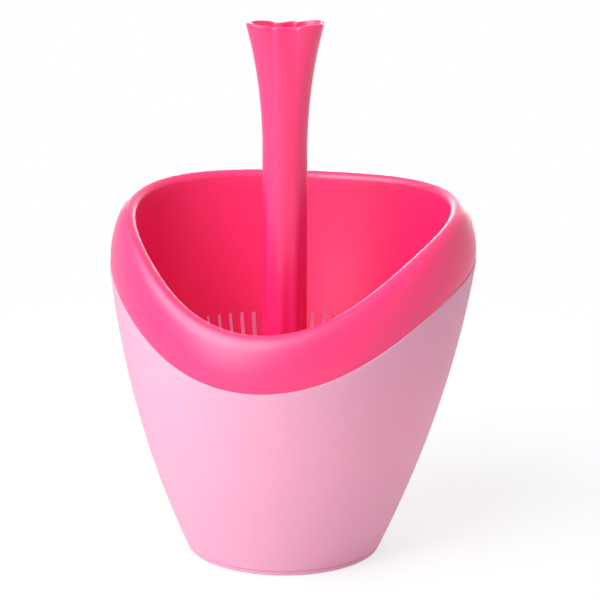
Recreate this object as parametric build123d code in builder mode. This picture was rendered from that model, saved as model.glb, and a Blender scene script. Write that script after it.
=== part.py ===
from build123d import *
import os
from math import cos, radians, sin, sqrt

# Cutlery organizer: a pale container, a drainer basket that drops into it, and a hollow handle column.
# Millimetres. +Z is up, the front with the low rim faces -Y, and the origin is under the column.
os.makedirs("parts", exist_ok=True)

# Bowl: round at the foot, leaning back and growing faintly three-cornered towards the rim
foot_radius = 55.2
rim_radius = 104.5
plan_height = 200.0
wall_bulge = 11.1
plan_back_lean = 0.150
plan_corner_swell = 0.049

# Seam line, where the skirt of the basket meets the container, low in front and high behind
seam_front = 114.9
seam_side = 159.6
seam_back = 169.5

# Container
container_wall = 2.8
container_floor = 2.4
foot_recess = 2.6
foot_ring_width = 5.0
foot_band_height = 2.3
foot_groove_width = 0.55
foot_groove_depth = 0.6
lip_height = 5.0
lip_thickness = 1.1
edge_break = 0.4

# Basket rim and walls
seam_gap = 0.3
skirt_step = 0.5
skirt_tongue = 0.9
lip_clearance = 0.3
rim_rise = 29.4
rim_roll_out = 10.8
rim_roll_in = 4.4
rim_inner_drop = 4.0
basket_wall = 2.2
basket_floor_thickness = 2.4
drip_depth = 11.0
floor_gap = 7.0

# How far the edge of either floor reaches into its wall
floor_bite = 1.5

# Drain slots in the basket's wall, up to the level of the low front seam, and in its floor
wall_slot_count = 76
wall_slot_width = 2.7
wall_slot_foot = 40.0
floor_slot_count = 18
floor_slot_width = 3.2
floor_slot_inner = 19.0
floor_slot_outer = 41.0

# Handle column: fluted below the waist, opening above it into a wide mouth of leaning petals
column_top = 301.5
column_radius = 12.5
column_waist_height = 227.8
column_mouth_radius = 17.5
column_mouth_across = 0.274
column_mouth_turn = 17.1
column_flare_power = 1.94
column_petal_count = 6
column_petal_depth = 0.12
column_petal_lean = 0.6
column_deep_groove = -20.0
column_deep_share = 0.45
column_flute_count = 8
column_flute_depth = 0.06
column_wall = 2.4
column_lip_round = 1.4
spigot_radius = 8.4
spigot_height = 22.0
spigot_wall = 2.0
spigot_clearance = 0.1
spigot_end_clearance = 1.0
socket_web = 2.5

# Values worked out from the sizes above
container_floor_top = foot_recess + container_floor
basket_floor_bottom = container_floor_top + drip_depth
basket_floor_top = basket_floor_bottom + basket_floor_thickness
ledge_width = skirt_step + skirt_tongue + lip_clearance
wall_slot_low = basket_floor_top + wall_slot_foot
wall_slot_high = seam_front
slot_cut_from = floor_slot_outer
slot_cut_to = rim_radius
socket_depth = spigot_height + spigot_end_clearance
socket_roof = basket_floor_top + socket_depth
column_hollow_foot = socket_roof + socket_web

# Angles are counted from the front, towards +X. Sections past the mirror plane keep the skin smooth there.
section_angles = range(-30, 211, 15)
wall_steps = (0.25, 0.5, 0.75)


def radial_plane(angle):
    a = radians(angle)
    return Plane(origin=(0, 0, 0), x_dir=(sin(a), -cos(a), 0), z_dir=(-cos(a), -sin(a), 0))


def reach(angle, height):
    """Radius of the container's outer skin at an angle and a height."""
    share = height / plan_height
    a = radians(angle)
    mean = foot_radius + (rim_radius - foot_radius) * share + wall_bulge * 4 * share * (1 - share)
    return mean * (1 + share * (plan_corner_swell * cos(3 * a) - plan_back_lean * cos(a)))


def slope(angle, height):
    """How fast the outer skin leans outwards, in millimetres for each millimetre of height."""
    return (reach(angle, height + 1) - reach(angle, height - 1)) / 2


def seam_height(angle):
    a = radians(angle)
    middle = (seam_front + seam_back) / 4 + seam_side / 2
    tilt = (seam_front - seam_back) / 2
    saddle = (seam_front + seam_back) / 4 - seam_side / 2
    return middle + tilt * cos(a) + saddle * cos(2 * a)


def mix(low, high, share):
    return low + (high - low) * share


def even_levels(low, high, count):
    return [mix(low, high, i / (count - 1)) for i in range(count)]


def wall_point(angle, height, inset):
    return (reach(angle, height) - inset, height)


def container_outline(angle):
    """Section of the container's wall: foot band, groove, skin, ledge and locating lip."""
    seam = seam_height(angle)
    skin = reach(angle, seam)
    skin_foot = foot_band_height + foot_groove_width
    levels = [mix(skin_foot, seam, s) for s in wall_steps]
    heel = wall_point(angle, 0, 0)
    band_top = wall_point(angle, foot_band_height, 0)
    groove_low = wall_point(angle, foot_band_height, foot_groove_depth)
    groove_high = wall_point(angle, skin_foot, foot_groove_depth)
    foot = wall_point(angle, skin_foot, 0)
    shoulder = wall_point(angle, seam - edge_break, 0)
    ledge_out = (skin - edge_break, seam)
    ledge_in = (skin - ledge_width, seam)
    lip_out = (skin - ledge_width, seam + lip_height)
    lip_in = (skin - ledge_width - lip_thickness, seam + lip_height)
    inner_top = (skin - ledge_width - lip_thickness, seam)
    inner_foot = wall_point(angle, 0, container_wall)
    Polyline(inner_foot, heel, band_top, groove_low, groove_high, foot)
    Spline([foot] + [wall_point(angle, z, 0) for z in levels] + [shoulder])
    Polyline(shoulder, ledge_out, ledge_in, lip_out, lip_in, inner_top)
    Spline([inner_top] + [wall_point(angle, z, container_wall) for z in reversed(levels)] + [inner_foot])


def basket_outline(angle):
    """Section of the basket: skirt, rolled rim, and the inner wall down to the floor."""
    seam = seam_height(angle)
    skirt_foot = seam + seam_gap
    skin = reach(angle, skirt_foot) - skirt_step
    lean = slope(angle, seam)
    crest = (skin - rim_roll_out, seam + rim_rise)
    half = sqrt(0.5)
    slant = sqrt(rim_roll_out**2 + rim_rise**2)
    brow = (skin - rim_roll_out * (1 - half), seam + rim_rise * half)
    edge = (crest[0] - rim_roll_in, crest[1] - rim_inner_drop)
    top_gap = reach(angle, edge[1]) - edge[0]
    heights = [mix(edge[1], basket_floor_bottom, s) for s in (*wall_steps, 1)]
    insets = [mix(top_gap, floor_gap + basket_wall, s) for s in (*wall_steps, 1)]
    inner = [wall_point(angle, z, inset) for z, inset in zip(heights, insets)]
    outer = [(s + basket_wall, z) for s, z in inner]
    fall = (inner[0][0] - edge[0], inner[0][1] - edge[1])
    under_edge = (edge[0] + basket_wall, edge[1])
    under_crest = (crest[0], crest[1] - basket_wall)
    under_brow = (brow[0] - basket_wall * rim_rise / slant, brow[1] - basket_wall * rim_roll_out / slant)
    tongue_top = skirt_foot + lip_height + lip_clearance
    under_skirt = (skin - basket_wall, tongue_top)
    rebate = (skin - skirt_tongue, tongue_top)
    tongue = (skin - skirt_tongue, skirt_foot)
    foot = (skin, skirt_foot)
    Spline([foot, brow, crest], tangents=[(lean, 1), (-1, 0)])
    Spline([crest, edge], tangents=[(-1, 0), fall])
    Spline([edge] + inner)
    Line(inner[-1], outer[-1])
    Spline(list(reversed(outer)) + [under_edge])
    Spline([under_edge, under_crest], tangents=[(-fall[0], -fall[1]), (1, 0)])
    Spline([under_crest, under_brow, under_skirt], tangents=[(1, 0), (-lean, -1)])
    Polyline(under_skirt, rebate, tongue, foot)


def plan_points(height, inset, count=24):
    """Closed outline of the basket's wall at one height, as points for a periodic spline."""
    angles = [360 / count * i for i in range(count)]
    spans = [reach(a, height) - inset for a in angles]
    return [(r * sin(radians(a)), -r * cos(radians(a))) for a, r in zip(angles, spans)]


def petal_wave(angle):
    """Form of the mouth, 0 in a groove and 1 on a petal. Each petal rises steeply beyond its groove."""
    place = (angle - column_deep_groove) * column_petal_count / 360 % 1
    depth = 1 - column_deep_share * (1 - cos(radians(2 * (angle - column_deep_groove))))
    return 1 - depth * (1 - sin(radians(180 * place**column_petal_lean)))


def column_points(height, inset, count=48):
    """Closed outline of the column: round at the waist, petals towards the mouth, flutes towards the foot."""
    span = column_top - column_waist_height
    flare = max(0.0, (height - column_waist_height) / span) ** column_flare_power
    foot = max(0.0, (column_waist_height - height) / (column_waist_height - basket_floor_top))
    mean = mix(column_radius, column_mouth_radius, flare)
    across = column_mouth_across * flare
    petals = column_petal_depth * sqrt(flare)
    flutes = column_flute_depth * foot
    points = []
    for i in range(count):
        angle = 360 / count * i
        a = radians(angle)
        oval = across * cos(2 * (a - radians(column_mouth_turn)))
        form = 1 - oval - petals * (1 - petal_wave(angle)) + flutes * cos(column_flute_count * a)
        r = mean * form - inset
        points.append((r * sin(a), -r * cos(a)))
    return points


# Pale outer container
with BuildPart() as container:
    for angle in section_angles:
        with BuildSketch(radial_plane(angle)):
            with BuildLine():
                container_outline(angle)
            make_face()
    loft()
    split(bisect_by=Plane.YZ, keep=Keep.TOP)
    mirror(about=Plane.YZ)
    with BuildSketch(Plane.XY.offset(foot_recess)):
        with BuildLine():
            Spline(plan_points(foot_recess, container_wall - floor_bite), periodic=True)
        make_face()
    extrude(amount=container_floor)
    with BuildSketch(Plane.XY):
        Circle(foot_radius - container_wall + floor_bite)
        Circle(foot_radius - foot_ring_width, mode=Mode.SUBTRACT)
    extrude(amount=foot_recess + container_floor / 2)
container.part.label = "outer_container"
export_step(container.part, "parts/outer_container.step")

# One drain slot, as a cutter that runs outwards through the wall
with BuildPart() as slot_cutter:
    with BuildSketch(Plane.XZ.offset(slot_cut_from)):
        with Locations((0, (wall_slot_low + wall_slot_high) / 2)):
            SlotOverall(wall_slot_high - wall_slot_low, wall_slot_width, rotation=90)
    extrude(amount=slot_cut_to - slot_cut_from)

# Drainer basket with its rolled rim, slotted wall, slotted floor and the spigot for the column
with BuildPart() as basket:
    for angle in section_angles:
        with BuildSketch(radial_plane(angle)):
            with BuildLine():
                basket_outline(angle)
            make_face()
    loft()
    split(bisect_by=Plane.YZ, keep=Keep.TOP)
    mirror(about=Plane.YZ)
    with BuildSketch(Plane.XY.offset(basket_floor_bottom)):
        with BuildLine():
            Spline(plan_points(basket_floor_bottom, floor_gap + basket_wall - floor_bite), periodic=True)
        make_face()
        Circle(spigot_radius - spigot_wall, mode=Mode.SUBTRACT)
    extrude(amount=basket_floor_thickness)
    with BuildSketch(Plane.XY.offset(basket_floor_bottom)):
        Circle(spigot_radius)
        Circle(spigot_radius - spigot_wall, mode=Mode.SUBTRACT)
    extrude(amount=basket_floor_thickness + spigot_height)
    with BuildSketch(Plane.XY.offset(basket_floor_bottom)):
        with PolarLocations((floor_slot_inner + floor_slot_outer) / 2, floor_slot_count):
            SlotOverall(floor_slot_outer - floor_slot_inner, floor_slot_width)
    extrude(amount=basket_floor_thickness, mode=Mode.SUBTRACT)
    with PolarLocations(0, wall_slot_count):
        add(slot_cutter.part, mode=Mode.SUBTRACT)
basket.part.label = "drainer_basket"
export_step(basket.part, "parts/drainer_basket.step")

# Hollow handle column, seated on the basket's floor over the spigot
column_levels = even_levels(basket_floor_top, column_top - column_lip_round, 12)
hollow_levels = even_levels(column_hollow_foot, column_top + column_lip_round, 11)
lip_turns = [radians(a) for a in (0, 30, 60, 90)]
lip_fall = [column_lip_round * (1 - sin(t)) for t in lip_turns]
lip_steps = [(column_top - d, column_lip_round * (1 - cos(t))) for d, t in zip(lip_fall, lip_turns)]
with BuildPart() as column:
    for z in column_levels:
        with BuildSketch(Plane.XY.offset(z)):
            with BuildLine():
                Spline(column_points(z, 0), periodic=True)
            make_face()
    loft()
    for z, inset in lip_steps:
        with BuildSketch(Plane.XY.offset(z)):
            with BuildLine():
                Spline(column_points(z, inset), periodic=True)
            make_face()
    loft(ruled=True)
    for z in hollow_levels:
        with BuildSketch(Plane.XY.offset(z)):
            with BuildLine():
                Spline(column_points(z, column_wall), periodic=True)
            make_face()
    loft(mode=Mode.SUBTRACT)
    with BuildSketch(Plane.XY.offset(basket_floor_top)):
        Circle(spigot_radius + spigot_clearance)
    extrude(amount=socket_depth, mode=Mode.SUBTRACT)
column.part.label = "handle_column"
export_step(column.part, "parts/handle_column.step")
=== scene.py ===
"""Cutlery organizer: a pale container, a slotted drainer basket and a petalled handle column."""

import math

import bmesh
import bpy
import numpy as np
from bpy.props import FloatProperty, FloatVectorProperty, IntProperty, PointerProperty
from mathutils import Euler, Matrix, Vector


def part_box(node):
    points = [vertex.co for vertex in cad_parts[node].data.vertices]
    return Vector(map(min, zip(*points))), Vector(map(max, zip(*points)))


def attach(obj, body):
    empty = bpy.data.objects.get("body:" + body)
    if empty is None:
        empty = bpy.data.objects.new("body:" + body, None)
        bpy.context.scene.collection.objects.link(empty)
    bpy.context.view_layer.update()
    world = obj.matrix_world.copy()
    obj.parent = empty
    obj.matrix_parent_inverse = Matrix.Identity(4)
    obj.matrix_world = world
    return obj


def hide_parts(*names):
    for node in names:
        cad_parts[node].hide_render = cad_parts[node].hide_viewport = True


bl_info = {
    "name": "Cutlery Organizer",
    "version": (1, 0, 0),
    "blender": (4, 5, 0),
    "location": "View3D > Sidebar > Organizer",
    "description": "Builds a moulded cutlery organizer around its packed model, with a plain studio",
    "category": "Add Mesh",
}

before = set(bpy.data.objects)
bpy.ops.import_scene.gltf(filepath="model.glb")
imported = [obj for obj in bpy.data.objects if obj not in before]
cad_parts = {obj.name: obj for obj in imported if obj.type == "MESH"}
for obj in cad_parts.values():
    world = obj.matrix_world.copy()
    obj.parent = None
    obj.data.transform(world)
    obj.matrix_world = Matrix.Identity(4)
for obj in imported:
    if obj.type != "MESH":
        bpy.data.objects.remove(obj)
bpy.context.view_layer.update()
column_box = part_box("handle_column")
basket_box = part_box("drainer_basket")

MM = 0.001
WELD = 0.002 * MM
FULL_TURN = 2 * math.pi
QUARTER_TURN = math.pi / 2

# Points along the sections
CORNER_STEPS = 5
CONTAINER_OUTER_STEPS = 30
CONTAINER_INNER_STEPS = 24
BASKET_OUTER_STEPS = 24
BASKET_INNER_STEPS = 36
UNDER_RIM_STEPS = 5
ROLL_STEPS = 11
INNER_ROLL_STEPS = 9
LIP_STEPS = 7

# Shares of the size that they are multiplied with
CORNER_ROOM = 0.45
GROOVE_ROUND = 0.25
LEDGE_ROUND = 0.1
LOCATING_LIP_ROUND = 0.35
UNDER_CREST_PULL = 0.6
UNDER_BROW_ARRIVE = 0.9
UNDER_BROW_LEAVE = 0.6
SOCKET_ROOF_REACH = 0.9
SLOT_END = 0.499  # A full half would leave edges of no length

# Bevels of the column: at its socket and its hollow's floor, and round its foot
INNER_BEVEL = 0.3 * MM
FOOT_BEVEL = 0.6 * MM
FOOT_BEVEL_MIDDLE = 0.2 * MM

# Layout of the node trees
NODE_WIDTH = 200
NODE_HEIGHT = 260
NODES_IN_A_ROW = 12

# Plastic: noise on object coordinates in metres, and bumps
TONE_DRIFT = {"Scale": 9.0, "Detail": 3.0, "Roughness": 0.55}
GLOSS_SMEAR = {"Scale": 70.0, "Detail": 4.0, "Roughness": 0.6}
FLOW_WAVES = {"Scale": 28.0, "Detail": 1.0}
SURFACE_GRAIN = {"Scale": 2600.0, "Detail": 2.0}
SMEAR_RANGE = {"From Min": 0.3, "From Max": 0.7}
GLOSS_SPREAD = 0.04
WAVE_BUMP = {"Strength": 0.25, "Distance": 0.25 * MM}
GRAIN_BUMP = {"Strength": 0.12, "Distance": 0.03 * MM}
PLASTIC_IOR = 1.49
COAT_ROUGHNESS = 0.35

# Floor: how white it is at the object, and where it starts to fade to full white
FLOOR_GREY = (0.9, 0.9, 0.9, 1)
WHITE = (1, 1, 1, 1)
FADE_START = 0.1
FADE_FLOOR = 0.7

# Place and size of each soft light in metres
LIGHT_AIM = (0, 0, 0.14)
LIGHTS = {
    "key": ((-1.0, -1.6, 1.15), (1.1, 1.1)),
    "fill": ((1.8, -0.7, 0.9), (0.9, 1.2)),
    "top": ((-0.75, -0.75, 1.4), (1.8, 1.0)),
    "back": ((-0.2, 1.6, 0.4), (1.4, 0.7)),
}


def length(name, millimetres, description):
    """A size in metres, written in millimetres."""
    return FloatProperty(
        name=name,
        description=description,
        default=millimetres * MM,
        min=0.0,
        precision=5,
        unit="LENGTH",
        subtype="DISTANCE",
    )


def share(name, value, description):
    """A plain number, mostly between 0 and 1."""
    return FloatProperty(
        name=name, description=description, default=value, soft_min=0.0, soft_max=1.0
    )


def number(name, value, low, description):
    """A number with a lower limit."""
    return FloatProperty(name=name, description=description, default=value, min=low)


def whole(name, value, low, description):
    """A whole number with a lower limit."""
    return IntProperty(name=name, description=description, default=value, min=low)


def turn_of(name, degrees, description):
    """An angle in radians, written in degrees."""
    return FloatProperty(
        name=name,
        description=description,
        default=math.radians(degrees),
        unit="ROTATION",
        subtype="ANGLE",
    )


def watts(name, value, description):
    """The power of a light."""
    return FloatProperty(name=name, description=description, default=value, min=0, unit="POWER")


def colour(name, value, description):
    """A base colour in linear red, green and blue."""
    return FloatVectorProperty(
        name=name, description=description, default=value, size=3, min=0.0, max=1.0, subtype="COLOR"
    )


class BowlSizes(bpy.types.PropertyGroup):
    """The outer skin that the container and the basket's skirt share, and the seam between them."""

    foot_radius: length("Foot radius", 55.2, "Radius of the skin where the container stands")
    rim_radius: length("Rim radius", 104.5, "Mean radius of the skin at the plan height")
    plan_height: length("Plan height", 200.0, "Height at which the rim radius is measured")
    wall_bulge: length("Wall bulge", 11.1, "How far the wall bulges out between foot and rim")
    back_lean: share("Back lean", 0.150, "How far the rim leans backwards, as a share of its radius")
    corner_swell: share("Corner swell", 0.049, "How three-cornered the rim is")
    seam_front: length("Seam height in front", 114.9, "Height of the seam at the low front")
    seam_side: length("Seam height at the sides", 159.6, "Height of the seam at the sides")
    seam_back: length("Seam height behind", 169.5, "Height of the seam at the high back")
    spokes: whole("Spokes", 240, 24, "Steps round the bowl")


class ContainerSizes(bpy.types.PropertyGroup):
    """The pale outer container."""

    wall: length("Wall", 2.8, "Thickness of the wall")
    floor_under: length("Floor underside", 2.6, "Height of the recess inside the foot ring")
    floor_top: length("Floor top", 5.0, "Height of the floor inside")
    ring_width: length("Foot ring width", 5.0, "Width of the ring that it stands on")
    band: length("Foot band", 2.3, "Height of the band under the foot groove")
    groove: length("Foot groove", 0.55, "Width of the groove above the foot band")
    groove_depth: length("Groove depth", 0.9, "Depth of the groove above the foot band")
    ledge: length("Ledge", 1.7, "Width of the ledge under the basket's skirt")
    lip_height: length("Lip height", 5.0, "Height of the locating lip inside the skirt")
    lip_thickness: length("Lip thickness", 1.1, "Thickness of the locating lip")
    seam_round: length("Seam round", 0.75, "Radius of the outer edge at the seam")
    edge_round: length("Edge round", 0.45, "Radius of the foot's edges")
    corner_round: length("Inner corner round", 4.0, "Radius between wall and floor inside")


class BasketSizes(bpy.types.PropertyGroup):
    """The drainer basket with its rolled rim."""

    seam_gap: length("Seam gap", 0.12, "Gap between the skirt and the container's ledge")
    skirt_step: length("Skirt step", 0.7, "How far the skirt stands back from the container's skin")
    tongue: length("Skirt tongue", 0.9, "Thickness of the tongue that rests on the ledge")
    tongue_height: length("Tongue height", 5.3, "Height of the tongue beside the locating lip")
    rim_rise: length("Rim rise", 29.4, "Height of the rim's crest above the seam")
    roll_out: length("Roll outwards", 10.8, "Width of the rim's roll outside its crest")
    roll_in: length("Roll inwards", 4.4, "Width of the rim's roll inside its crest")
    inner_drop: length("Inner drop", 4.0, "Height of the roll inside the crest")
    wall: length("Wall", 2.2, "Thickness of the wall")
    floor: length("Floor", 2.4, "Thickness of the floor")
    floor_gap: length("Floor gap", 7.0, "Gap between the basket and the container's skin at the floor")
    spigot_radius: length("Spigot radius", 8.4, "Radius of the spigot under the column")
    spigot_height: length("Spigot height", 22.0, "Height of the spigot above the floor")
    spigot_wall: length("Spigot wall", 2.0, "Thickness of the spigot's wall")
    edge_round: length("Edge round", 0.25, "Radius of the skirt's lower edges")
    corner_round: length("Inner corner round", 4.0, "Radius between wall and floor inside")


class SlotSizes(bpy.types.PropertyGroup):
    """Drain slots in the basket's wall, up to the level of the low front seam, and in its floor."""

    wall_count: whole("Wall slots", 76, 3, "Slots round the wall")
    wall_width: length("Wall slot width", 2.7, "Width of a slot in the wall")
    wall_foot: length("Wall slot foot", 40.0, "Height of a wall slot's foot above the basket's floor")
    floor_count: whole("Floor slots", 18, 3, "Slots round the floor")
    floor_width: length("Floor slot width", 3.2, "Width of a slot in the floor")
    floor_inner: length("Floor slot inner end", 19.0, "How far from the axis a floor slot starts")
    floor_outer: length("Floor slot outer end", 41.0, "How far from the axis a floor slot ends")
    round_steps: whole("Round steps", 8, 2, "Steps in a slot's round end")


class ColumnSizes(bpy.types.PropertyGroup):
    """The hollow handle column: fluted at the foot, and opening into a wide mouth of leaning petals."""

    radius: length("Radius", 12.5, "Mean radius at the waist")
    waist_height: length("Waist height", 227.8, "Height at which the mouth starts to flare")
    mouth_radius: length("Mouth radius", 17.5, "Mean radius at the mouth")
    mouth_across: share("Mouth across", 0.274, "How much wider the mouth is than its mean, as a share")
    mouth_turn: turn_of("Mouth turn", 17.1, "Turn of the mouth's narrow side away from the front")
    flare_power: number("Flare power", 1.94, 0.1, "How late the mouth opens")
    petals: whole("Petals", 6, 1, "Petals round the mouth")
    petal_depth: share("Petal depth", 0.14, "Depth of the deepest groove, as a share of the radius")
    petal_lean: number("Petal lean", 0.6, 0.1, "1 for even petals, less to lean")
    deep_groove: turn_of("Deep groove", -20, "Angle of the deepest groove from the front")
    deep_share: share("Deep share", 0.45, "Half of the depth lost at right angles to the deepest groove")
    flutes: whole("Flutes", 8, 1, "Flutes round the foot")
    flute_depth: share("Flute depth", 0.075, "Depth of the flutes at the foot, as a share of the radius")
    lip_dip: length("Lip dip", 1.6, "How far the lip dips on its narrow sides")
    lip_scallop: length("Lip scallop", 0.7, "How far the lip dips between the petals")
    wall: length("Wall", 2.4, "Thickness of the wall")
    lip_round: length("Lip round", 1.4, "Radius of the rounded lip")
    hollow_foot: length("Hollow foot", 43.9, "Height of the hollow's floor")
    socket_radius: length("Socket radius", 8.5, "Radius of the socket over the spigot")
    socket_roof: length("Socket roof", 41.4, "Height of the socket's roof")
    spokes: whole("Spokes", 216, 24, "Steps round the column")
    levels: whole("Levels", 72, 8, "Steps up the column's skin")


class FinishSettings(bpy.types.PropertyGroup):
    """Colours and gloss of the moulded plastics."""

    container: colour("Container", (0.97, 0.55, 0.73), "Base colour of the pale container")
    container_shade: colour("Container shade", (0.95, 0.52, 0.71), "Deeper tone that drifts through it")
    basket: colour("Basket", (0.97, 0.016, 0.170), "Base colour of the basket and the column")
    basket_shade: colour("Basket shade", (0.94, 0.013, 0.155), "Deeper tone that drifts through it")
    container_glow: share("Container glow", 0.40, "Share of the light that comes through its wall")
    basket_glow: share("Basket glow", 0.08, "Share of the light that comes through its wall")
    container_roughness: share("Container roughness", 0.38, "Roughness of the container")
    basket_roughness: share("Basket roughness", 0.42, "Roughness of the basket and the column")
    container_shine: share("Container shine", 0.4, "Strength of the container's plain reflection")
    basket_shine: share("Basket shine", 0.85, "Strength of the basket's plain reflection")
    container_coat: share("Container coat", 0.04, "Weight of the container's clear coat")
    basket_coat: share("Basket coat", 0.25, "Weight of the basket's clear coat")


class StudioSettings(bpy.types.PropertyGroup):
    """Camera, lamps and floor."""

    camera_place: FloatVectorProperty(
        name="Camera place",
        description="Where the camera stands",
        default=(0.2403, -1.1998, 0.4646),
        size=3,
        unit="LENGTH",
        subtype="TRANSLATION",
    )
    camera_pitch: turn_of("Camera pitch", 14.673, "How far the camera looks down")
    camera_turn: turn_of("Camera turn", 10.915, "Heading of the camera, from +Y towards -X")
    camera_roll: turn_of("Camera roll", 0.303, "Turn of the camera about its view")
    focal_length: number("Focal length", 134.52, 1.0, "Lens in millimetres")
    floor_size: length("Floor size", 14000.0, "Width of the floor")
    shadow_reach: length("Shadow reach", 600.0, "Distance over which the floor fades to white")
    key_power: watts("Key power", 20.0, "Front left soft light")
    fill_power: watts("Fill power", 0.5, "Right soft light")
    top_power: watts("Top power", 29.0, "Overhead soft light")
    back_power: watts("Back power", 30.0, "Soft light behind")
    ambient: share("Ambient", 0.38, "Strength of the light from all around")


def skin_radius(bowl, angle, height):
    """Radius of the bowl's outer skin. The angle is counted from the front, -Y, towards +X."""
    rise = height / bowl.plan_height
    taper = (bowl.rim_radius - bowl.foot_radius) * rise
    bulge = bowl.wall_bulge * 4 * rise * (1 - rise)  # Widest half-way up
    mean = bowl.foot_radius + taper + bulge
    plan = bowl.corner_swell * math.cos(3 * angle) - bowl.back_lean * math.cos(angle)
    return mean * (1 + rise * plan)


def skin_lean(bowl, angle, height):
    """How fast the skin leans outwards for each metre of height."""
    return (skin_radius(bowl, angle, height + MM) - skin_radius(bowl, angle, height - MM)) / (2 * MM)


def seam_height(bowl, angle):
    """Height of the seam: low in front, higher at the sides and highest behind."""
    middle = (bowl.seam_front + bowl.seam_back) / 4 + bowl.seam_side / 2
    tilt = (bowl.seam_front - bowl.seam_back) / 2
    saddle = (bowl.seam_front + bowl.seam_back) / 4 - bowl.seam_side / 2
    return middle + tilt * math.cos(angle) + saddle * math.cos(2 * angle)


def mix(low, high, part):
    """The value that lies this part of the way from low to high."""
    return low + (high - low) * part


def steps_between(low, high, count):
    """Count values strictly between low and high, evenly spaced."""
    return [mix(low, high, (i + 1) / (count + 1)) for i in range(count)]


def curve_points(start, leave, end, arrive, count):
    """Points strictly inside a cubic curve with the given ends and end directions."""
    points = []
    for i in range(1, count + 1):
        t = i / (count + 1)
        weights = (2 * t**3 - 3 * t**2 + 1, t**3 - 2 * t**2 + t, 3 * t**2 - 2 * t**3, t**3 - t**2)
        parts = (start, leave, end, arrive)
        points.append(tuple(sum(w * p[k] for w, p in zip(weights, parts)) for k in (0, 1)))
    return points


def rounded(outline):
    """Turns each corner (x, z, radius) of an outline into a small arc between two holding points."""
    points = []
    for i, corner in enumerate(outline):
        here = Vector(corner[:2])
        if len(corner) < 3 or i in (0, len(outline) - 1):
            points.append(here)
            continue
        back = Vector(outline[i - 1][:2]) - here
        ahead = Vector(outline[i + 1][:2]) - here
        room = CORNER_ROOM * min(back.length, ahead.length)
        back.normalize()
        ahead.normalize()
        half_turn = (math.pi - back.angle(ahead)) / 2
        reach = min(corner[2] * math.tan(half_turn), room)
        hold = min(corner[2], room - reach)
        radius = reach / math.tan(half_turn)
        centre = here + (back + ahead).normalized() * (radius / math.cos(half_turn))
        first = here + back * reach - centre
        last = here + ahead * reach - centre
        points.append(here + back * (reach + hold))
        turn = 2 * half_turn
        for k in range(CORNER_STEPS + 1):
            low = math.sin((1 - k / CORNER_STEPS) * turn) / math.sin(turn)
            high = math.sin(k / CORNER_STEPS * turn) / math.sin(turn)
            points.append(centre + first * low + last * high)
        points.append(here + ahead * (reach + hold))
    return points


def ring_mesh(name, outline_at, spokes, closed):
    """Mesh swept round the axis. outline_at gives the section at an angle, with the solid on its left.
    An open section starts and ends on the axis, and a closed one joins its ends."""
    rings = []
    for j in range(spokes):
        angle = FULL_TURN * j / spokes
        rings.append([(r * math.sin(angle), -r * math.cos(angle), z) for r, z in outline_at(angle)])
    grid = np.array(rings)
    count = grid.shape[1]
    mesh = bmesh.new()
    verts = [[mesh.verts.new(p) for p in ring] for ring in grid]
    last = count if closed else count - 1
    for j in range(spokes):
        k = (j + 1) % spokes
        for i in range(last):
            n = (i + 1) % count
            mesh.faces.new((verts[j][i], verts[k][i], verts[k][n], verts[j][n]))
    bmesh.ops.remove_doubles(mesh, verts=mesh.verts, dist=WELD)
    for face in mesh.faces:
        face.smooth = True
    data = bpy.data.meshes.new(name)
    mesh.to_mesh(data)
    mesh.free()
    return data


def new_piece(name, mesh, material):
    """A named object with its material, linked to the scene."""
    piece = bpy.data.objects.new(name, mesh)
    bpy.context.scene.collection.objects.link(piece)
    piece.data.materials.append(material)
    return piece


def container_outline(bowl, sizes, angle):
    """Section of the container from the middle of its underside to the middle of its floor."""
    seam = seam_height(bowl, angle)
    skin = skin_radius(bowl, angle, seam)
    ring_in = bowl.foot_radius - sizes.ring_width
    wall_foot = sizes.band + sizes.groove
    band_skin = skin_radius(bowl, angle, sizes.band)
    foot_skin = skin_radius(bowl, angle, wall_foot)
    ledge_in = skin - sizes.ledge
    lip_in = ledge_in - sizes.lip_thickness
    lip_top = seam + sizes.lip_height
    floor_edge = skin_radius(bowl, angle, sizes.floor_top) - sizes.wall
    fine = GROOVE_ROUND * sizes.groove
    lip_round = sizes.lip_thickness * LOCATING_LIP_ROUND
    outer_levels = steps_between(wall_foot, seam, CONTAINER_OUTER_STEPS)
    inner_levels = steps_between(seam, sizes.floor_top, CONTAINER_INNER_STEPS)
    outline = [(0, sizes.floor_under), (ring_in / 2, sizes.floor_under)]
    outline += [(ring_in, sizes.floor_under, 2 * sizes.edge_round), (ring_in, 0, sizes.edge_round)]
    outline += [(bowl.foot_radius, 0, sizes.edge_round), (band_skin, sizes.band, fine)]
    outline += [(band_skin - sizes.groove_depth, sizes.band, fine)]
    outline += [(foot_skin - sizes.groove_depth, wall_foot, fine), (foot_skin, wall_foot, fine)]
    outline += [(skin_radius(bowl, angle, z), z) for z in outer_levels]
    outline += [(skin, seam, sizes.seam_round), (ledge_in, seam, LEDGE_ROUND * sizes.ledge)]
    outline += [(ledge_in, lip_top, lip_round), (lip_in, lip_top, lip_round)]
    outline += [(lip_in, seam)]
    outline += [(skin_radius(bowl, angle, z) - sizes.wall, z) for z in inner_levels]
    outline += [(floor_edge, sizes.floor_top, sizes.corner_round), (floor_edge / 2, sizes.floor_top)]
    outline += [(0, sizes.floor_top)]
    return rounded(outline)


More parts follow.
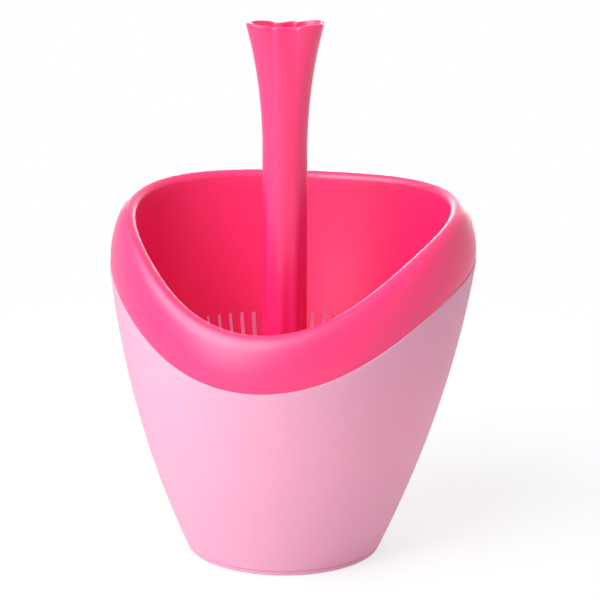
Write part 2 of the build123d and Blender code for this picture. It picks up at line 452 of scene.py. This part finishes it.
def basket_outline(bowl, sizes, angle):
    """Section of the basket from the spigot's bore under the floor, round the rim and back."""
    seam = seam_height(bowl, angle)
    skirt_foot = seam + sizes.seam_gap
    skin = skin_radius(bowl, angle, skirt_foot) - sizes.skirt_step
    lean = skin_lean(bowl, angle, seam)
    floor_bottom = basket_box[0].z
    floor_top = floor_bottom + sizes.floor
    half = math.sqrt(0.5)
    rise = seam + sizes.rim_rise - skirt_foot
    crest = (skin - sizes.roll_out, seam + sizes.rim_rise)
    brow = (skin - sizes.roll_out * (1 - half), skirt_foot + rise * half)
    edge = (crest[0] - sizes.roll_in, crest[1] - sizes.inner_drop)
    top_gap = skin_radius(bowl, angle, edge[1]) - edge[0]

    def wall(height, inset=0.0):
        part = (edge[1] - height) / (edge[1] - floor_bottom)
        gap = mix(top_gap, sizes.floor_gap + sizes.wall, part)
        return (skin_radius(bowl, angle, height) - gap + inset, height)

    below = wall(edge[1] - MM)
    fall = Vector((below[0] - edge[0], below[1] - edge[1])).normalized()
    slant = math.hypot(sizes.roll_out, sizes.rim_rise)
    under_edge = (edge[0] + sizes.wall, edge[1])
    under_crest = (crest[0], crest[1] - sizes.wall)
    under_brow = (
        brow[0] - sizes.wall * sizes.rim_rise / slant,
        brow[1] - sizes.wall * sizes.roll_out / slant,
    )
    tongue_top = skirt_foot + sizes.tongue_height
    under_skirt = (skin - sizes.wall, tongue_top)
    spigot_top = floor_top + sizes.spigot_height
    bore = sizes.spigot_radius - sizes.spigot_wall
    floor_middle = mix(bore, bowl.foot_radius, 0.5)
    fine = sizes.edge_round
    foot_round = 3 * fine
    tongue_root = 0.5 * fine
    spigot_root = 0.2 * fine
    spigot_round = 2 * fine

    # Underside of the floor and outside of the wall
    outline = [(bore, floor_bottom), (floor_middle, floor_bottom)]
    outline += [(*wall(floor_bottom, sizes.wall), foot_round)]
    outer_levels = steps_between(floor_bottom, edge[1], BASKET_OUTER_STEPS)
    outline += [wall(z, sizes.wall) for z in outer_levels]

    # Hollow underside of the rim
    climb = -fall * sizes.inner_drop
    across = Vector(((under_crest[0] - under_edge[0]) * QUARTER_TURN, 0))
    outline += [under_edge]
    outline += curve_points(under_edge, climb, under_crest, across, UNDER_RIM_STEPS)
    outline += [under_crest]
    bend = Vector((sizes.roll_out * half, -rise * half)) * QUARTER_TURN / 2
    across = Vector((sizes.roll_out * UNDER_CREST_PULL, 0))
    arrive = bend * UNDER_BROW_ARRIVE
    outline += curve_points(under_crest, across, under_brow, arrive, UNDER_RIM_STEPS)
    outline += [under_brow]
    leave = bend * UNDER_BROW_LEAVE
    fall_out = Vector((-lean, -1)) * (under_brow[1] - under_skirt[1])
    outline += curve_points(under_brow, leave, under_skirt, fall_out, UNDER_RIM_STEPS)
    outline += [(*under_skirt, fine), (skin - sizes.tongue, tongue_top, tongue_root)]
    outline += [(skin - sizes.tongue, skirt_foot, fine), (skin, skirt_foot, fine)]

    # Skirt, roll of the rim and inside of the wall
    start = Vector((lean, 1)) * rise * QUARTER_TURN / 2
    middle = Vector((-sizes.roll_out * half, rise * half)) * QUARTER_TURN / 2
    top = Vector((-sizes.roll_out, 0)) * QUARTER_TURN / 2
    outline += curve_points((skin, skirt_foot), start, brow, middle, ROLL_STEPS)
    outline += [brow]
    outline += curve_points(brow, middle, crest, top, ROLL_STEPS)
    outline += [crest]
    roll = Vector((-sizes.roll_in, 0)) * QUARTER_TURN
    dive = fall * sizes.inner_drop * QUARTER_TURN
    outline += curve_points(crest, roll, edge, dive, INNER_ROLL_STEPS)
    outline += [edge]
    outline += [wall(z) for z in steps_between(edge[1], floor_top, BASKET_INNER_STEPS)]
    outline += [(*wall(floor_top), sizes.corner_round)]

    # Floor and spigot
    outline += [(floor_middle, floor_top), (sizes.spigot_radius, floor_top, spigot_root)]
    outline += [(sizes.spigot_radius, spigot_top, spigot_round), (bore, spigot_top, fine)]
    outline += [(bore, floor_bottom + sizes.floor / 2)]
    return rounded(outline)


class TreeBuilder:
    """Adds nodes to a node tree from left to right and links their sockets."""

    def __init__(self, tree):
        self.tree = tree
        self.count = 0

    def add(self, kind, inputs=None, **settings):
        """A node of this kind, with its settings made and its inputs fed."""
        node = self.tree.nodes.new(kind)
        row, place = divmod(self.count, NODES_IN_A_ROW)
        node.location = (NODE_WIDTH * place, -NODE_HEIGHT * row)
        self.count += 1
        for name, value in settings.items():
            setattr(node, name, value)
        for name, value in (inputs or {}).items():
            self.feed(node.inputs[name], value)
        return node

    def feed(self, socket, value):
        """Links a socket to an input, or sets its value."""
        if isinstance(value, bpy.types.NodeSocket):
            self.tree.links.new(value, socket)
        else:
            socket.default_value = value

    def calc(self, operation, *values):
        """A Math node: sockets and plain numbers may be mixed."""
        node = self.add("ShaderNodeMath", operation=operation)
        for socket, value in zip(node.inputs, values):
            self.feed(socket, value)
        return node.outputs[0]


def geometry_tree(name, inputs):
    """An empty geometry tree with the named inputs, each (name, socket type)."""
    tree = bpy.data.node_groups.new(name, "GeometryNodeTree")
    tree.interface.new_socket("Geometry", in_out="INPUT", socket_type="NodeSocketGeometry")
    for label, kind in inputs:
        tree.interface.new_socket(label, in_out="INPUT", socket_type=kind)
    tree.interface.new_socket("Geometry", in_out="OUTPUT", socket_type="NodeSocketGeometry")
    build = TreeBuilder(tree)
    source = build.add("NodeGroupInput")
    return tree, build, source.outputs


def close_tree(build, geometry, material):
    """Ends a geometry tree with real geometry in its material."""
    real = build.add("GeometryNodeRealizeInstances", {"Geometry": geometry})
    painted = build.add("GeometryNodeSetMaterial", {"Geometry": real.outputs[0], "Material": material})
    build.add("NodeGroupOutput", {"Geometry": painted.outputs[0]})


def apply_tree(piece, tree, values):
    """Runs a geometry tree on a piece with inputs given by name, and keeps the result as its mesh."""
    modifier = piece.modifiers.new(tree.name, "NODES")
    modifier.node_group = tree
    identifiers = {s.name: s.identifier for s in tree.interface.items_tree if s.in_out == "INPUT"}
    for name, value in values.items():
        modifier[identifiers[name]] = value
    depsgraph = bpy.context.evaluated_depsgraph_get()
    mesh = bpy.data.meshes.new_from_object(piece.evaluated_get(depsgraph))
    piece.modifiers.remove(modifier)
    before = piece.data
    piece.data = mesh
    bpy.data.meshes.remove(before)
    mesh.name = piece.name


def slot_ring_tree():
    """Cuts a ring of equal round-ended slots through the input mesh. The first slot's cutter runs
    from Cut From to Cut To."""
    inputs = [
        ("Slots", "NodeSocketInt"),
        ("Slot Width", "NodeSocketFloat"),
        ("Slot Length", "NodeSocketFloat"),
        ("Round Steps", "NodeSocketInt"),
        ("Cut From", "NodeSocketVector"),
        ("Cut To", "NodeSocketVector"),
        ("Finish", "NodeSocketMaterial"),
    ]
    tree, build, given = geometry_tree("Ring of drain slots", inputs)
    box = build.add(
        "GeometryNodeCurvePrimitiveQuadrilateral",
        {"Width": given["Slot Width"], "Height": given["Slot Length"]},
    )
    end_radius = build.calc("MULTIPLY", given["Slot Width"], SLOT_END)
    outline = build.add(
        "GeometryNodeFilletCurve",
        {"Curve": box.outputs[0], "Count": given["Round Steps"], "Radius": end_radius},
        mode="POLY",
    )
    path = build.add(
        "GeometryNodeCurvePrimitiveLine", {"Start": given["Cut From"], "End": given["Cut To"]}
    )
    cutter = build.add(
        "GeometryNodeCurveToMesh",
        {"Curve": path.outputs[0], "Profile Curve": outline.outputs[0], "Fill Caps": True},
    )
    index = build.add("GeometryNodeInputIndex")
    turns = build.calc("MULTIPLY", index.outputs[0], FULL_TURN)
    turn = build.calc("DIVIDE", turns, given["Slots"])
    points = build.add("GeometryNodePoints", {"Count": given["Slots"]})
    rotation = build.add("FunctionNodeAxisAngleToRotation", {"Axis": (0, 0, 1), "Angle": turn})
    ring = build.add(
        "GeometryNodeInstanceOnPoints",
        {"Points": points.outputs[0], "Instance": cutter.outputs[0], "Rotation": rotation.outputs[0]},
    )
    cutters = build.add("GeometryNodeRealizeInstances", {"Geometry": ring.outputs[0]})
    cut = build.add(
        "GeometryNodeMeshBoolean",
        {"Mesh 1": given["Geometry"], "Mesh 2": cutters.outputs[0]},
        operation="DIFFERENCE",
        solver="MANIFOLD",
    )
    crisp = build.add(
        "GeometryNodeSetShadeSmooth",
        {
            "Geometry": cut.outputs["Mesh"],
            "Selection": cut.outputs["Intersecting Edges"],
            "Shade Smooth": False,
        },
        domain="EDGE",
    )
    close_tree(build, crisp.outputs[0], given["Finish"])
    return tree


def petal_sleeve_tree():
    """Sweeps a section round the axis on a petalled skin. Each vertex of the input is one point of it:
    X is its distance from the skin, Y how much of the skin's radius it follows, and Z its height."""
    names = ["Radius", "Foot Height", "Waist Height", "Top Height"]
    names += ["Mouth Radius", "Mouth Across", "Mouth Turn", "Flare Power"]
    names += ["Petals", "Petal Depth", "Petal Lean", "Deep Groove", "Deep Share"]
    names += ["Flutes", "Flute Depth", "Lip Dip", "Lip Scallop", "Weld Distance"]
    inputs = [("Spokes", "NodeSocketInt")] + [(n, "NodeSocketFloat") for n in names]
    inputs += [("Finish", "NodeSocketMaterial")]
    tree, build, given = geometry_tree("Petalled sleeve", inputs)
    calc = build.calc
    size = build.add(
        "GeometryNodeAttributeDomainSize", {"Geometry": given["Geometry"]}, component="MESH"
    )
    stations = size.outputs["Point Count"]
    columns = calc("ADD", given["Spokes"], 1)
    grid = build.add("GeometryNodeMeshGrid", {"Vertices X": columns, "Vertices Y": stations})
    index = build.add("GeometryNodeInputIndex").outputs[0]
    spoke = calc("FLOOR", calc("DIVIDE", calc("ADD", index, 0.5), stations))
    station = calc("SUBTRACT", index, calc("MULTIPLY", spoke, stations))
    angle = calc("DIVIDE", calc("MULTIPLY", spoke, FULL_TURN), given["Spokes"])
    place = build.add("GeometryNodeInputPosition")
    sample = build.add(
        "GeometryNodeSampleIndex",
        {"Geometry": given["Geometry"], "Index": station},
        data_type="FLOAT_VECTOR",
        domain="POINT",
    )
    build.feed(next(s for s in sample.inputs if s.name == "Value" and s.enabled), place.outputs[0])
    point = build.add("ShaderNodeSeparateXYZ")
    build.feed(point.inputs[0], next(s for s in sample.outputs if s.enabled))
    offset, follow, height = point.outputs[0], point.outputs[1], point.outputs[2]

    over = calc("SUBTRACT", height, given["Waist Height"])
    rise = calc("DIVIDE", over, calc("SUBTRACT", given["Top Height"], given["Waist Height"]))
    flare = calc("POWER", calc("MAXIMUM", rise, 0.0), given["Flare Power"])
    depth = calc("DIVIDE", over, calc("SUBTRACT", given["Foot Height"], given["Waist Height"]))
    foot = calc("MAXIMUM", depth, 0.0)
    opening = calc("SUBTRACT", given["Mouth Radius"], given["Radius"])
    mean = calc("MULTIPLY_ADD", opening, flare, given["Radius"])

    # How far the skin stands back at this angle, from 0 on a petal to 1 in the deepest groove
    from_groove = calc("SUBTRACT", angle, given["Deep Groove"])
    turns = calc("DIVIDE", calc("MULTIPLY", from_groove, given["Petals"]), FULL_TURN)
    phase = calc("POWER", calc("FRACT", turns), given["Petal Lean"])
    hollow = calc("SUBTRACT", 1.0, calc("SINE", calc("MULTIPLY", phase, math.pi)))
    shallow = calc("SUBTRACT", 1.0, calc("COSINE", calc("MULTIPLY", from_groove, 2.0)))
    lost = calc("MULTIPLY", shallow, given["Deep Share"])
    back = calc("MULTIPLY", hollow, calc("SUBTRACT", 1.0, lost))

    # Radius: an oval mouth, less the grooves between the petals, with flutes towards the foot
    twofold = calc("COSINE", calc("MULTIPLY", calc("SUBTRACT", angle, given["Mouth Turn"]), 2.0))
    oval = calc("MULTIPLY", calc("MULTIPLY", given["Mouth Across"], flare), twofold)
    petals = calc("MULTIPLY", calc("MULTIPLY", given["Petal Depth"], calc("SQRT", flare)), back)
    flute = calc("COSINE", calc("MULTIPLY", angle, given["Flutes"]))
    flutes = calc("MULTIPLY", calc("MULTIPLY", given["Flute Depth"], foot), flute)
    form = calc("ADD", calc("SUBTRACT", calc("SUBTRACT", 1.0, oval), petals), flutes)
    radius = calc("MULTIPLY_ADD", calc("MULTIPLY", mean, form), follow, offset)

    # Place: the lip dips on its narrow sides and between the petals
    narrow = calc("MULTIPLY_ADD", twofold, 0.5, 0.5)
    dip = calc("MULTIPLY", given["Lip Dip"], narrow)
    drop = calc("MULTIPLY_ADD", given["Lip Scallop"], hollow, dip)
    x = calc("MULTIPLY", radius, calc("SINE", angle))
    y = calc("MULTIPLY", radius, calc("MULTIPLY", calc("COSINE", angle), -1.0))
    z = calc("SUBTRACT", height, calc("MULTIPLY", drop, flare))
    target = build.add("ShaderNodeCombineXYZ", {"X": x, "Y": y, "Z": z})
    swept = build.add(
        "GeometryNodeSetPosition",
        {"Geometry": grid.outputs["Mesh"], "Position": target.outputs[0]},
    )
    welded = build.add(
        "GeometryNodeMergeByDistance",
        {"Geometry": swept.outputs[0], "Distance": given["Weld Distance"]},
    )
    smooth = build.add(
        "GeometryNodeSetShadeSmooth", {"Geometry": welded.outputs[0], "Shade Smooth": True}
    )
    close_tree(build, smooth.outputs[0], given["Finish"])
    return tree


def column_section(sizes):
    """Section of the column from the socket's roof, round the wall and its lip, to the hollow's floor."""
    foot = column_box[0].z
    top = column_box[1].z
    socket = sizes.socket_radius
    roof = sizes.socket_roof
    shoulder = top - sizes.lip_round
    inner_round = sizes.wall - sizes.lip_round
    inner_foot = sizes.hollow_foot + MM
    points = [(0, 0, roof), (socket * SOCKET_ROOF_REACH, 0, roof), (socket, 0, roof)]
    points += [(socket, 0, foot + INNER_BEVEL), (socket + INNER_BEVEL, 0, foot)]
    points += [(-FOOT_BEVEL, 1, foot), (-FOOT_BEVEL_MIDDLE, 1, foot + FOOT_BEVEL_MIDDLE)]
    points += [(0, 1, foot + FOOT_BEVEL)]
    points += [(0, 1, z) for z in steps_between(foot + FOOT_BEVEL, shoulder, sizes.levels)]
    for k in range(LIP_STEPS + 1):
        turn = QUARTER_TURN * k / LIP_STEPS
        inset = sizes.lip_round * (1 - math.cos(turn))
        points.append((-inset, 1, shoulder + sizes.lip_round * math.sin(turn)))
    for k in range(1, LIP_STEPS):
        turn = QUARTER_TURN * k / LIP_STEPS
        inset = sizes.lip_round + inner_round * math.sin(turn)
        points.append((-inset, 1, top - inner_round * (1 - math.cos(turn))))
    inner_levels = steps_between(top - inner_round, inner_foot, sizes.levels)
    points += [(-sizes.wall, 1, z) for z in inner_levels]
    points += [(-sizes.wall, 1, inner_foot)]
    points += [(-sizes.wall - INNER_BEVEL, 1, sizes.hollow_foot + INNER_BEVEL)]
    points += [(-sizes.wall - MM, 1, sizes.hollow_foot), (0, 0, sizes.hollow_foot)]
    return points


def moulded_plastic(name, finish, part):
    """Moulded plastic with a slow drift of tone, uneven gloss, faint flow waves and a fine grain.
    part says whose finish it takes, container or basket. A share of the light comes through it."""
    base = getattr(finish, part)
    shade = getattr(finish, f"{part}_shade")
    roughness = getattr(finish, f"{part}_roughness")
    material = bpy.data.materials.new(name)
    material.use_nodes = True
    tree = material.node_tree
    tree.nodes.clear()
    build = TreeBuilder(tree)
    place = build.add("ShaderNodeTexCoord").outputs["Object"]
    drift = build.add("ShaderNodeTexNoise", {"Vector": place, **TONE_DRIFT})
    tone = build.add("ShaderNodeMix", data_type="RGBA")
    build.feed(tone.inputs["Factor"], drift.outputs[0])
    colours = [s for s in tone.inputs if s.type == "RGBA"]
    colours[0].default_value = (*base, 1)
    colours[1].default_value = (*shade, 1)
    toned = next(s for s in tone.outputs if s.type == "RGBA")
    smear = build.add("ShaderNodeTexNoise", {"Vector": place, **GLOSS_SMEAR})
    limits = {"To Min": roughness - GLOSS_SPREAD, "To Max": roughness + GLOSS_SPREAD}
    gloss = build.add("ShaderNodeMapRange", {"Value": smear.outputs[0], **SMEAR_RANGE, **limits})
    waves = build.add("ShaderNodeTexNoise", {"Vector": place, **FLOW_WAVES})
    grain = build.add("ShaderNodeTexNoise", {"Vector": place, **SURFACE_GRAIN})
    broad = build.add("ShaderNodeBump", {"Height": waves.outputs[0], **WAVE_BUMP})
    fine = build.add(
        "ShaderNodeBump", {"Height": grain.outputs[0], "Normal": broad.outputs[0], **GRAIN_BUMP}
    )
    surface = build.add(
        "ShaderNodeBsdfPrincipled",
        {
            "Base Color": toned,
            "Roughness": gloss.outputs[0],
            "Normal": fine.outputs[0],
            "IOR": PLASTIC_IOR,
            "Specular IOR Level": getattr(finish, f"{part}_shine"),
            "Coat Weight": getattr(finish, f"{part}_coat"),
            "Coat Roughness": COAT_ROUGHNESS,
        },
    )
    through = build.add("ShaderNodeBsdfTranslucent", {"Color": toned})
    mixer = build.add(
        "ShaderNodeMixShader",
        {0: getattr(finish, f"{part}_glow"), 1: surface.outputs[0], 2: through.outputs[0]},
    )
    build.add("ShaderNodeOutputMaterial", {"Surface": mixer.outputs[0]})
    return material


def seen_rays(build):
    """1 where the camera, a gloss or a clear body looks, and 0 where light is gathered."""
    rays = build.add("ShaderNodeLightPath").outputs
    gloss = build.calc("MAXIMUM", rays["Is Glossy Ray"], rays["Is Transmission Ray"])
    return build.calc("MAXIMUM", rays["Is Camera Ray"], gloss)


def floor_finish(shadow_reach):
    """Floor that keeps the shadow near the object and fades to plain white at the shadow's reach."""
    material = bpy.data.materials.new("studio_floor_white")
    material.use_nodes = True
    tree = material.node_tree
    tree.nodes.clear()
    build = TreeBuilder(tree)
    place = build.add("ShaderNodeTexCoord").outputs["Object"]
    distance = build.add("ShaderNodeVectorMath", {0: place}, operation="LENGTH").outputs["Value"]
    reach = {"From Min": FADE_START, "From Max": shadow_reach, "To Min": FADE_FLOOR, "To Max": 1.0}
    fade = build.add(
        "ShaderNodeMapRange", {"Value": distance, **reach}, interpolation_type="SMOOTHSTEP"
    )
    white = build.add("ShaderNodeEmission", {"Color": WHITE, "Strength": 1.0})
    matt = build.add("ShaderNodeBsdfDiffuse", {"Color": FLOOR_GREY})
    part = build.calc("MULTIPLY", fade.outputs[0], seen_rays(build))
    mixer = build.add("ShaderNodeMixShader", {0: part, 1: matt.outputs[0], 2: white.outputs[0]})
    build.add("ShaderNodeOutputMaterial", {"Surface": mixer.outputs[0]})
    return material


def make_world(ambient):
    """White surroundings that light the object only as strongly as ambient says."""
    world = bpy.data.worlds.new("studio_world")
    world.use_nodes = True
    world.node_tree.nodes.clear()
    build = TreeBuilder(world.node_tree)
    seen = seen_rays(build)
    strength = build.calc("MULTIPLY_ADD", seen, 1.0 - ambient, ambient)
    sky = build.add("ShaderNodeBackground", {"Color": WHITE, "Strength": strength})
    build.add("ShaderNodeOutputWorld", {"Surface": sky.outputs[0]})
    bpy.context.scene.world = world


def soft_light(name, place, size, power):
    """A rectangular light that faces the middle of the object."""
    lamp = bpy.data.lights.new(name, "AREA")
    lamp.shape = "RECTANGLE"
    lamp.size, lamp.size_y = size
    lamp.energy = power
    holder = bpy.data.objects.new(name, lamp)
    holder.location = place
    facing = Vector(LIGHT_AIM) - Vector(place)
    holder.rotation_euler = facing.to_track_quat("-Z", "Y").to_euler()
    bpy.context.scene.collection.objects.link(holder)


class ORGANIZER_OT_container(bpy.types.Operator):
    """Builds the pale outer container"""

    bl_idname = "organizer.container"
    bl_label = "Container"

    def execute(self, context):
        bowl = context.scene.organizer_bowl
        sizes = context.scene.organizer_container
        finish = moulded_plastic("pale_pink_plastic", context.scene.organizer_finish, "container")
        mesh = ring_mesh(
            "container_shell",
            lambda angle: container_outline(bowl, sizes, angle),
            bowl.spokes,
            closed=False,
        )
        piece = new_piece("container_shell", mesh, finish)
        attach(piece, "container")
        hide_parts("outer_container")
        return {"FINISHED"}


class ORGANIZER_OT_basket(bpy.types.Operator):
    """Builds the drainer basket and cuts its drain slots"""

    bl_idname = "organizer.basket"
    bl_label = "Basket"

    def execute(self, context):
        bowl = context.scene.organizer_bowl
        sizes = context.scene.organizer_basket
        slots = context.scene.organizer_slots
        finish = moulded_plastic("hot_pink_plastic", context.scene.organizer_finish, "basket")
        mesh = ring_mesh(
            "basket_shell",
            lambda angle: basket_outline(bowl, sizes, angle),
            bowl.spokes,
            closed=True,
        )
        piece = new_piece("basket_shell", mesh, finish)
        tree = slot_ring_tree()
        floor_bottom = basket_box[0].z
        floor_top = floor_bottom + sizes.floor
        low = floor_top + slots.wall_foot
        high = bowl.seam_front
        half_way = (low + high) / 2
        middle = (slots.floor_outer + slots.floor_inner) / 2
        shared = {"Round Steps": slots.round_steps, "Finish": finish}
        # The wall's cutters start where the floor slots end: further in, neighbours would overlap
        wall_slots = {
            "Slots": slots.wall_count,
            "Slot Width": slots.wall_width,
            "Slot Length": high - low,
            "Cut From": (0, -slots.floor_outer, half_way),
            "Cut To": (0, -bowl.rim_radius, half_way),
        }
        floor_slots = {
            "Slots": slots.floor_count,
            "Slot Width": slots.floor_width,
            "Slot Length": slots.floor_outer - slots.floor_inner,
            "Cut From": (0, -middle, floor_bottom - MM),
            "Cut To": (0, -middle, floor_top + MM),
        }
        apply_tree(piece, tree, {**shared, **wall_slots})
        apply_tree(piece, tree, {**shared, **floor_slots})
        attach(piece, "basket")
        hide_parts("drainer_basket")
        return {"FINISHED"}


class ORGANIZER_OT_column(bpy.types.Operator):
    """Builds the hollow handle column with its petalled mouth"""

    bl_idname = "organizer.column"
    bl_label = "Column"

    def execute(self, context):
        sizes = context.scene.organizer_column
        settings = context.scene.organizer_finish
        finish = moulded_plastic("hot_pink_column_plastic", settings, "basket")
        mesh = bpy.data.meshes.new("column_shell")
        mesh.from_pydata(column_section(sizes), [], [])
        piece = new_piece("column_shell", mesh, finish)
        values = {
            "Spokes": sizes.spokes,
            "Radius": sizes.radius,
            "Foot Height": column_box[0].z,
            "Waist Height": sizes.waist_height,
            "Top Height": column_box[1].z,
            "Mouth Radius": sizes.mouth_radius,
            "Mouth Across": sizes.mouth_across,
            "Mouth Turn": sizes.mouth_turn,
            "Flare Power": sizes.flare_power,
            "Petals": float(sizes.petals),
            "Petal Depth": sizes.petal_depth,
            "Petal Lean": sizes.petal_lean,
            "Deep Groove": sizes.deep_groove,
            "Deep Share": sizes.deep_share,
            "Flutes": float(sizes.flutes),
            "Flute Depth": sizes.flute_depth,
            "Lip Dip": sizes.lip_dip,
            "Lip Scallop": sizes.lip_scallop,
            "Weld Distance": WELD,
            "Finish": finish,
        }
        apply_tree(piece, petal_sleeve_tree(), values)
        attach(piece, "basket")
        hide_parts("handle_column")
        return {"FINISHED"}


class ORGANIZER_OT_studio(bpy.types.Operator):
    """Sets up the floor, the soft lights, the white surroundings and the camera"""

    bl_idname = "organizer.studio"
    bl_label = "Studio"

    def execute(self, context):
        scene = context.scene
        studio = scene.organizer_studio
        half = studio.floor_size / 2
        mesh = bpy.data.meshes.new("studio_floor")
        corners = [(-half, -half, 0), (half, -half, 0), (half, half, 0), (-half, half, 0)]
        mesh.from_pydata(corners, [], [(0, 1, 2, 3)])
        floor = new_piece("studio_floor", mesh, floor_finish(studio.shadow_reach))
        for name, (place, size) in LIGHTS.items():
            soft_light(f"{name}_light", place, size, getattr(studio, f"{name}_power"))
        make_world(studio.ambient)
        data = bpy.data.cameras.new("studio_camera")
        data.lens = studio.focal_length
        camera = bpy.data.objects.new("studio_camera", data)
        camera.location = studio.camera_place
        aimed = Euler((QUARTER_TURN - studio.camera_pitch, 0, studio.camera_turn)).to_matrix()
        camera.rotation_euler = (aimed @ Matrix.Rotation(studio.camera_roll, 3, "Z")).to_euler()
        scene.collection.objects.link(camera)
        scene.camera = camera
        scene.view_settings.view_transform = "Standard"
        return {"FINISHED"}


class ORGANIZER_PT_panel(bpy.types.Panel):
    """Sizes, colours and buttons of the cutlery organizer"""

    bl_idname = "ORGANIZER_PT_panel"
    bl_label = "Cutlery Organizer"
    bl_space_type = "VIEW_3D"
    bl_region_type = "UI"
    bl_category = "Organizer"

    def draw(self, context):
        for operator in OPERATORS:
            self.layout.operator(operator.bl_idname)
        for attribute, group in GROUPS.items():
            box = self.layout.box()
            box.label(text=attribute.replace("_", " ").capitalize())
            for name in group.__annotations__:
                box.prop(getattr(context.scene, attribute), name)


GROUPS = {
    "organizer_bowl": BowlSizes,
    "organizer_container": ContainerSizes,
    "organizer_basket": BasketSizes,
    "organizer_slots": SlotSizes,
    "organizer_column": ColumnSizes,
    "organizer_finish": FinishSettings,
    "organizer_studio": StudioSettings,
}
OPERATORS = (ORGANIZER_OT_container, ORGANIZER_OT_basket, ORGANIZER_OT_column, ORGANIZER_OT_studio)
CLASSES = (*GROUPS.values(), *OPERATORS, ORGANIZER_PT_panel)


def register():
    for cls in CLASSES:
        bpy.utils.register_class(cls)
    for attribute, group in GROUPS.items():
        setattr(bpy.types.Scene, attribute, PointerProperty(type=group))


def unregister():
    for attribute in GROUPS:
        delattr(bpy.types.Scene, attribute)
    for cls in reversed(CLASSES):
        bpy.utils.unregister_class(cls)


def main():
    register()
    bpy.ops.organizer.studio()
    bpy.ops.organizer.container()
    bpy.ops.organizer.basket()
    bpy.ops.organizer.column()


if __name__ == "__main__":
    main()
